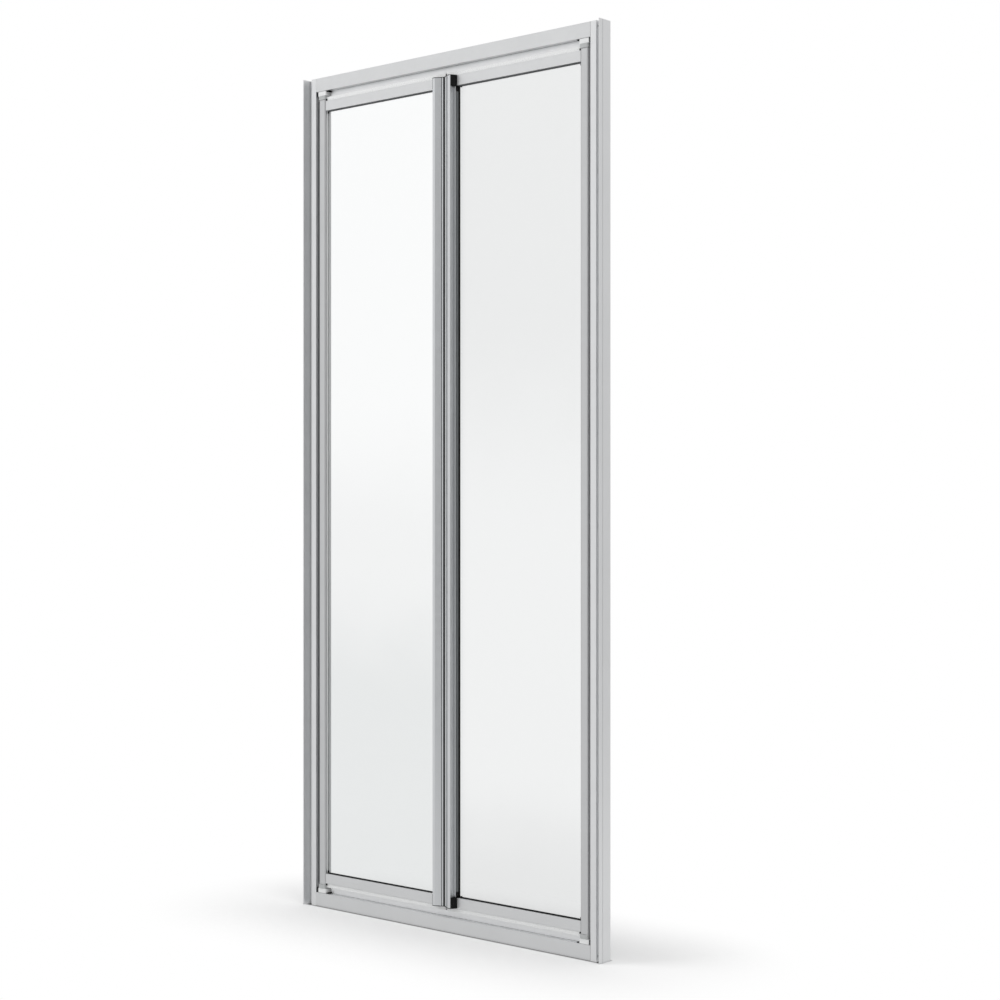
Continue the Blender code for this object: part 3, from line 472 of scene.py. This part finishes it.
def black_block(name, body, spans, radius):
    """A rounded block that rides on a body, between two places each in X, Y and Z."""
    low, high = np.array([sorted(span) for span in spans]).T
    block = closed_mesh(name, rounded_block(low, high, radius))
    # Black rubber finish on all blocks, also on the pads that are painted shadow.
    block.data.materials.append(BLACK_RUBBER)
    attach(block, body)
    print(name, "mm:", np.round((high - low) / MM, 1).tolist())


print("points in a ring:", 4 * ROUND_POINTS)

# %% [markdown]
# ## Places beside the pivots
#
# Every block goes between faces of pieces that are there already. The four corners of
# the door mirror each other, so each place is written once, with two signs: inward is
# the way in X to the middle of the door, and outward the way in Z from its middle.

# %% Ways and faces
INWARD = {"left": 1, "right": -1}
OUTWARD = {"top": 1, "bottom": -1}
X, Y, Z = 0, 1, 2
FRONT = -1
CORNERS = [(side, end, INWARD[side], OUTWARD[end]) for side in SIDES for end in ENDS]


def face(name, axis, way):
    """Where the outermost face of a door piece lies on an axis, on its lower side where
    the way is -1 and on its upper side where it is 1."""
    low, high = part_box(name)
    return (high if way > 0 else low)[axis]


print("door corners:", [corner[:2] for corner in CORNERS])

# %% [markdown]
# ## Black pads of painted shadow
#
# Between each fixed pivot block and its jamb sits a small black pad: a painted shadow,
# where the slot beside the block lies in shade. Between each fixed pivot block and its jamb
# sits a small black rubber pad, most likely to keep splashes out of the corner. On the
# block's other side a flat black pad, also a painted shadow, fills the way to the slanted
# end of the strip beside it, and reaches past that end by its slant.

# %% Four corner pads and four flat pads, all painted shadow
PAD_GAP = 0.3 * MM
PAD_HALF_DEPTH = 10.5 * MM
PAD_ROUND = 0.8 * MM
FLAT_HEIGHT, FLAT_ROUND = 1.3 * MM, 0.5 * MM
STRIP_SLANT = 2.4 * MM
RAILS = {"top": ("header", "header_infill"), "bottom": ("sill", "sill_upstand")}
DEEP = (-PAD_HALF_DEPTH, PAD_HALF_DEPTH)
for side, end, inward, outward in CORNERS:
    rail, strip = RAILS[end]
    block = f"{side}_{end}_pivot_socket"
    seat = face(rail, Z, -outward) - outward * PAD_GAP
    outer = (face(f"{side}_jamb", X, inward) + inward * PAD_GAP,
             face(block, X, -inward) - inward * PAD_GAP)
    inner = (face(block, X, inward) + inward * PAD_GAP,
             face(strip, X, -inward) + inward * STRIP_SLANT)
    tall, flat = (face(block, Z, -outward), seat), (seat - outward * FLAT_HEIGHT, seat)
    # Both pads are black blocks put where the corner lies in shade: painted shadow.
    black_block(f"{side}_{end}_corner_pad", "frame", (outer, DEEP, tall), PAD_ROUND)
    black_block(f"{side}_{end}_flat_pad", "frame", (inner, DEEP, flat), FLAT_ROUND)

# %% [markdown]
# ## Small stops on the leaves
#
# At the corners of a leaf beside the pivot sit two bits of black rubber. One covers
# the joint of two gaskets on the glass. The other stands on the rail beside the hub, and
# probably keeps the wiper from sliding along. Both are taken to be glued on, so they get
# next to no gap.

# %% Four gasket corners and four wiper stops
GLUE_GAP = 0.1 * MM
CORNER_SIZE = 4 * MM
STOP_LENGTH, STOP_DEPTH = 3 * MM, 1.8 * MM
SMALL_ROUND = 0.4 * MM
for side, end, inward, outward in CORNERS:
    upright, level = f"{side}_pivot_gasket", f"{side}_{end}_gasket"
    along = face(upright, X, inward) + inward * PAD_GAP
    below = face(level, Z, -outward) - outward * PAD_GAP
    black_block(f"{side}_{end}_gasket_corner", f"{side}_leaf",
                 ((along, along + inward * CORNER_SIZE),
                  (face(upright, Y, FRONT) - PAD_GAP,
                   face(f"{side}_glass_pane", Y, FRONT) - GLUE_GAP),
                  (below, below - outward * CORNER_SIZE)), SMALL_ROUND)
    along = face(f"{side}_{end}_pivot_hub", X, inward) + inward * PAD_GAP
    wiper = face(f"{side}_{end}_seal", Y, FRONT) - GLUE_GAP
    seat = face(f"{side}_{end}_rail", Z, outward) + outward * PAD_GAP
    black_block(f"{side}_{end}_wiper_stop", f"{side}_leaf",
                 ((along, along + inward * STOP_LENGTH), (wiper - STOP_DEPTH, wiper),
                  (seat, seat + outward * CORNER_SIZE)), SMALL_ROUND)

# %% [markdown]
# ## What the metal mirrors
#
# Satin metal has little colour of its own. It shows a blurred picture of what stands
# round it, so the surroundings decide how an aluminium door looks. In a white studio
# three sides are darker: the open room behind the camera, a doorway far to the left, and
# a little, the side behind the door on the right. Walls could be modelled for it, but
# they would shade the matt pieces too. Instead one function gives the level that a
# mirrored ray meets in a direction. The world uses it for rays that leave the scene, and
# the floor for rays that land on it.

# %% The level of the surroundings in a mirrored ray
# Each dark side: its direction and its lowest level
DARK_SIDES = (((0.57, -0.82, 0.0), 0.52), ((-0.906, 0.423, 0.0), 0.12),
              ((0.68, 0.733, 0.0), 0.68))
DARK_FROM, DARK_FULL = 0.62, 0.97
HORIZON_LEVEL, UPPER_LEVEL, UPPER_HEIGHT = 0.79, 0.94, 0.3


def mirrored_level(tree, direction):
    """Product of one factor for each dark side, which falls smoothly from 1 as the
    direction turns to that side, and one factor that rises with the direction's height.
    How far a direction turns to a side is the dot product of the two, 1 where they meet."""
    rise = add(tree, "ShaderNodeSeparateXYZ", Vector=direction)
    level = add(tree, "ShaderNodeMapRange",
                {"From Max": UPPER_HEIGHT, "To Min": HORIZON_LEVEL, "To Max": UPPER_LEVEL},
                Value=rise.outputs["Z"])
    for toward_side, lowest in DARK_SIDES:
        facing = add(tree, "ShaderNodeVectorMath", {"operation": "DOT_PRODUCT", 1: toward_side},
                     i0=direction)
        dimmed = add(tree, "ShaderNodeMapRange",
                     {"interpolation_type": "SMOOTHSTEP", "From Min": DARK_FROM,
                      "From Max": DARK_FULL, "To Min": 1.0, "To Max": lowest},
                     Value=facing.outputs["Value"])
        level = add(tree, "ShaderNodeMath", {"operation": "MULTIPLY"}, i0=level, i1=dimmed)
    return level


def light_paths(tree):
    """Two shares, each 0 or 1: mirrored at least once, and seen straight or through glass."""
    path = add(tree, "ShaderNodeLightPath")
    mirrored = add(tree, "ShaderNodeMath", {"operation": "GREATER_THAN", 1: 0.5},
                   i0=path.outputs["Glossy Depth"])
    seen = add(tree, "ShaderNodeMath", {"operation": "MAXIMUM"},
               i0=path.outputs["Is Camera Ray"], i1=path.outputs["Is Transmission Ray"])
    return mirrored, seen


print("levels of the dark sides:", [lowest for toward_side, lowest in DARK_SIDES])

# %% [markdown]
# ## Surroundings
#
# The background is plain white where the camera sees it, straight or through glass. A
# mirrored ray meets the levels above. All other rays, which light matt surfaces, meet
# an even fill, at which a colour renders about as it is written.

# %% A white world with three darker sides in reflections
FILL, WHITE = 0.72, 1.0

world = bpy.data.worlds.new("studio")
bpy.context.scene.world = world
world.use_nodes = True
sky = world.node_tree
sky.nodes.clear()
toward = add(sky, "ShaderNodeTexCoord").outputs["Generated"]
mirrored, seen = light_paths(sky)
plain = add(sky, "ShaderNodeMix", {"A": FILL, "B": WHITE}, Factor=seen)
strength = add(sky, "ShaderNodeMix", Factor=mirrored, A=plain, B=mirrored_level(sky, toward))
shown = add(sky, "ShaderNodeBackground", {"Color": (1, 1, 1, 1)}, Strength=strength)
add(sky, "ShaderNodeOutputWorld", Surface=shown)
print("surroundings: fill", FILL)

# %% [markdown]
# ## The floor's mesh and distances on it
#
# A pale matt floor carries the door's soft contact shadow. Its finish changes with the
# distance from the door. The door's foot is a rectangle round the origin, so the
# distance comes from a short formula instead of a painted mask.

# %% A flat floor and the distance from the door's foot
FLOOR_HALF = 14.0
FOOT_HALF = (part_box("right_jamb")[1][0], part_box("sill")[1][1], 0.0)


def pale_floor():
    """A flat square floor on a two by two grid, just under the sill."""
    spread = np.array([-FLOOR_HALF, FLOOR_HALF])
    x, y = np.meshgrid(spread, spread, indexing="ij")
    points = np.stack([x, y, np.full_like(x, CAD_LOW.z)], axis=-1).reshape(-1, 3)
    mesh = bpy.data.meshes.new("pale_floor")
    mesh.from_pydata(points.tolist(), [], [(0, 2, 3, 1)])
    floor = bpy.data.objects.new("pale_floor", mesh)
    bpy.context.scene.collection.objects.link(floor)
    return floor


def outside_foot(tree, point):
    """Distance of a floor point from the door's foot, a rectangle: how far |x| and |y|
    lie past its half width and half depth, negative values as 0, then their length."""
    folded = add(tree, "ShaderNodeVectorMath", {"operation": "ABSOLUTE"}, i0=point)
    past = add(tree, "ShaderNodeVectorMath", {"operation": "SUBTRACT", 1: FOOT_HALF}, i0=folded)
    outside = add(tree, "ShaderNodeVectorMath", {"operation": "MAXIMUM", 1: (0, 0, 0)}, i0=past)
    length = add(tree, "ShaderNodeVectorMath", {"operation": "LENGTH"}, i0=outside)
    return length.outputs["Value"]


floor = pale_floor()
print("floor", 2 * FLOOR_HALF, "m wide, foot half", [round(half, 4) for half in FOOT_HALF])

# %% [markdown]
# ## The floor's finish
#
# Within a few millimetres of the door the floor darkens, where sill and floor close the
# light out. Further out it turns into plain white, so that it meets the white background
# without an edge. In the metal it shows as a little darker than the walls, and most so
# close to the door. A mirrored floor point counts as lying in its own direction from the
# door's middle. Near the door that direction would swing fast, so it is scaled by a
# distance of at least SIDES_REACH metres.

# %% A pale matt floor that fades to white
FLOOR_COLOUR, FLOOR_ROUGHNESS = "FAFAFA", 0.9
WHITE_FROM, WHITE_FULL = 0.03, 0.40
CONTACT_REACH, CONTACT_LEVEL = 0.009, 0.05
MIRROR_NEAR, MIRROR_FAR = 0.0, 1.5
FLOOR_NEAR_LEVEL, FLOOR_FAR_LEVEL = 0.84, 1.0
SIDES_REACH = 2.5
floor_finish, tree, floor_shader = new_finish("pale_matt_floor", FLOOR_COLOUR,
                                              FLOOR_ROUGHNESS, Specular_IOR_Level=0.1)
point = add(tree, "ShaderNodeTexCoord").outputs["Object"]
distance = outside_foot(tree, point)
contact = add(tree, "ShaderNodeMapRange", {"From Max": CONTACT_REACH, "To Min": CONTACT_LEVEL},
              Value=distance)
ground = add(tree, "ShaderNodeMixRGB", {"Color1": (0, 0, 0, 1),
                                        "Color2": linear(FLOOR_COLOUR)}, Fac=contact)
tree.links.new(ground.outputs[0], floor_shader.inputs["Base Color"])
mirrored, seen = light_paths(tree)
fade = add(tree, "ShaderNodeMapRange", {"interpolation_type": "SMOOTHSTEP",
                                        "From Min": WHITE_FROM, "From Max": WHITE_FULL},
           Value=distance)
seen_fade = add(tree, "ShaderNodeMath", {"operation": "MULTIPLY"}, i0=fade, i1=seen)
white = add(tree, "ShaderNodeEmission", {"Strength": WHITE})
direct = add(tree, "ShaderNodeMixShader", i0=seen_fade, i1=floor_shader, i2=white)
dim = add(tree, "ShaderNodeMapRange", {"From Min": MIRROR_NEAR, "From Max": MIRROR_FAR,
                                       "To Min": FLOOR_NEAR_LEVEL, "To Max": FLOOR_FAR_LEVEL},
          Value=distance)
reach = add(tree, "ShaderNodeMath", {"operation": "MAXIMUM", 1: SIDES_REACH}, i0=distance)
shrink = add(tree, "ShaderNodeMath", {"operation": "DIVIDE", 0: 1.0}, i1=reach)
away = add(tree, "ShaderNodeVectorMath", {"operation": "SCALE"}, i0=point, Scale=shrink)
floor_level = add(tree, "ShaderNodeMath", {"operation": "MULTIPLY"}, i0=dim,
                  i1=mirrored_level(tree, away.outputs["Vector"]))
reflection = add(tree, "ShaderNodeEmission", Strength=floor_level)
both = add(tree, "ShaderNodeMixShader", i0=mirrored, i1=direct, i2=reflection)
tree.links.new(both.outputs[0], tree.nodes["Material Output"].inputs["Surface"])
floor_finish.cycles.emission_sampling = "NONE"
floor.data.materials.append(floor_finish)
print("floor: white from", WHITE_FULL, "m on")

# %% [markdown]
# ## Lamps
#
# Two broad soft lamps, one high on the left and one on the right, model the matt pieces
# without hard shadows. Metal and glass don't show them, so that no bright patch gives
# away where they stand. They stay at a level where a colour renders about as written.

# %% Two soft lamps
LAMP_SIZE = 2.4
# Each lamp: its place and its watts
LAMPS = {"left_lamp": ((-2.6, -2.8, 3.2), 60), "right_lamp": ((3.4, -1.2, 2.8), 40)}
DOOR_MIDDLE = (0.0, 0.0, 0.95)


def soft_lamp(name, place, watts):
    """A square area lamp at a place, turned to the door's middle: its turn about Z is that
    of the horizontal line to it less a quarter, and its tilt is the line's steepness."""
    data = bpy.data.lights.new(name, "AREA")
    data.energy = watts
    data.size = LAMP_SIZE
    lamp = bpy.data.objects.new(name, data)
    bpy.context.scene.collection.objects.link(lamp)
    lamp.location = place
    away = np.subtract(DOOR_MIDDLE, place)
    flat = math.hypot(away[0], away[1])
    turn = math.atan2(away[1], away[0]) - math.pi / 2
    lamp.rotation_euler = (math.atan2(flat, -away[2]), 0, turn)
    lamp.visible_glossy = False
    lamp.visible_transmission = False
    print(name, "at", place)


for name, (place, watts) in LAMPS.items():
    soft_lamp(name, place, watts)

# %% [markdown]
# ## Camera
#
# The camera was worked out from the frame's own edges: they run parallel on the door and
# meet at two far points in the picture, which fixes the lens and the direction, and the
# door's size fixes the distance. It stands level at mid height, so uprights stay upright.

# %% The camera
CAMERA_PLACE = (2.828, -3.051, 0.932)
CAMERA_TURN = 41.3
LENS, SENSOR_WIDTH = 69.13, 36.0

camera_data = bpy.data.cameras.new("camera")
camera_data.lens = LENS
camera_data.sensor_width = SENSOR_WIDTH
camera = bpy.data.objects.new("camera", camera_data)
camera.location = CAMERA_PLACE
camera.rotation_euler = (math.pi / 2, 0, math.radians(CAMERA_TURN))
bpy.context.scene.collection.objects.link(camera)
bpy.context.scene.camera = camera
bpy.context.scene.view_settings.view_transform = "Standard"
print("camera", CAMERA_PLACE, "lens", LENS)
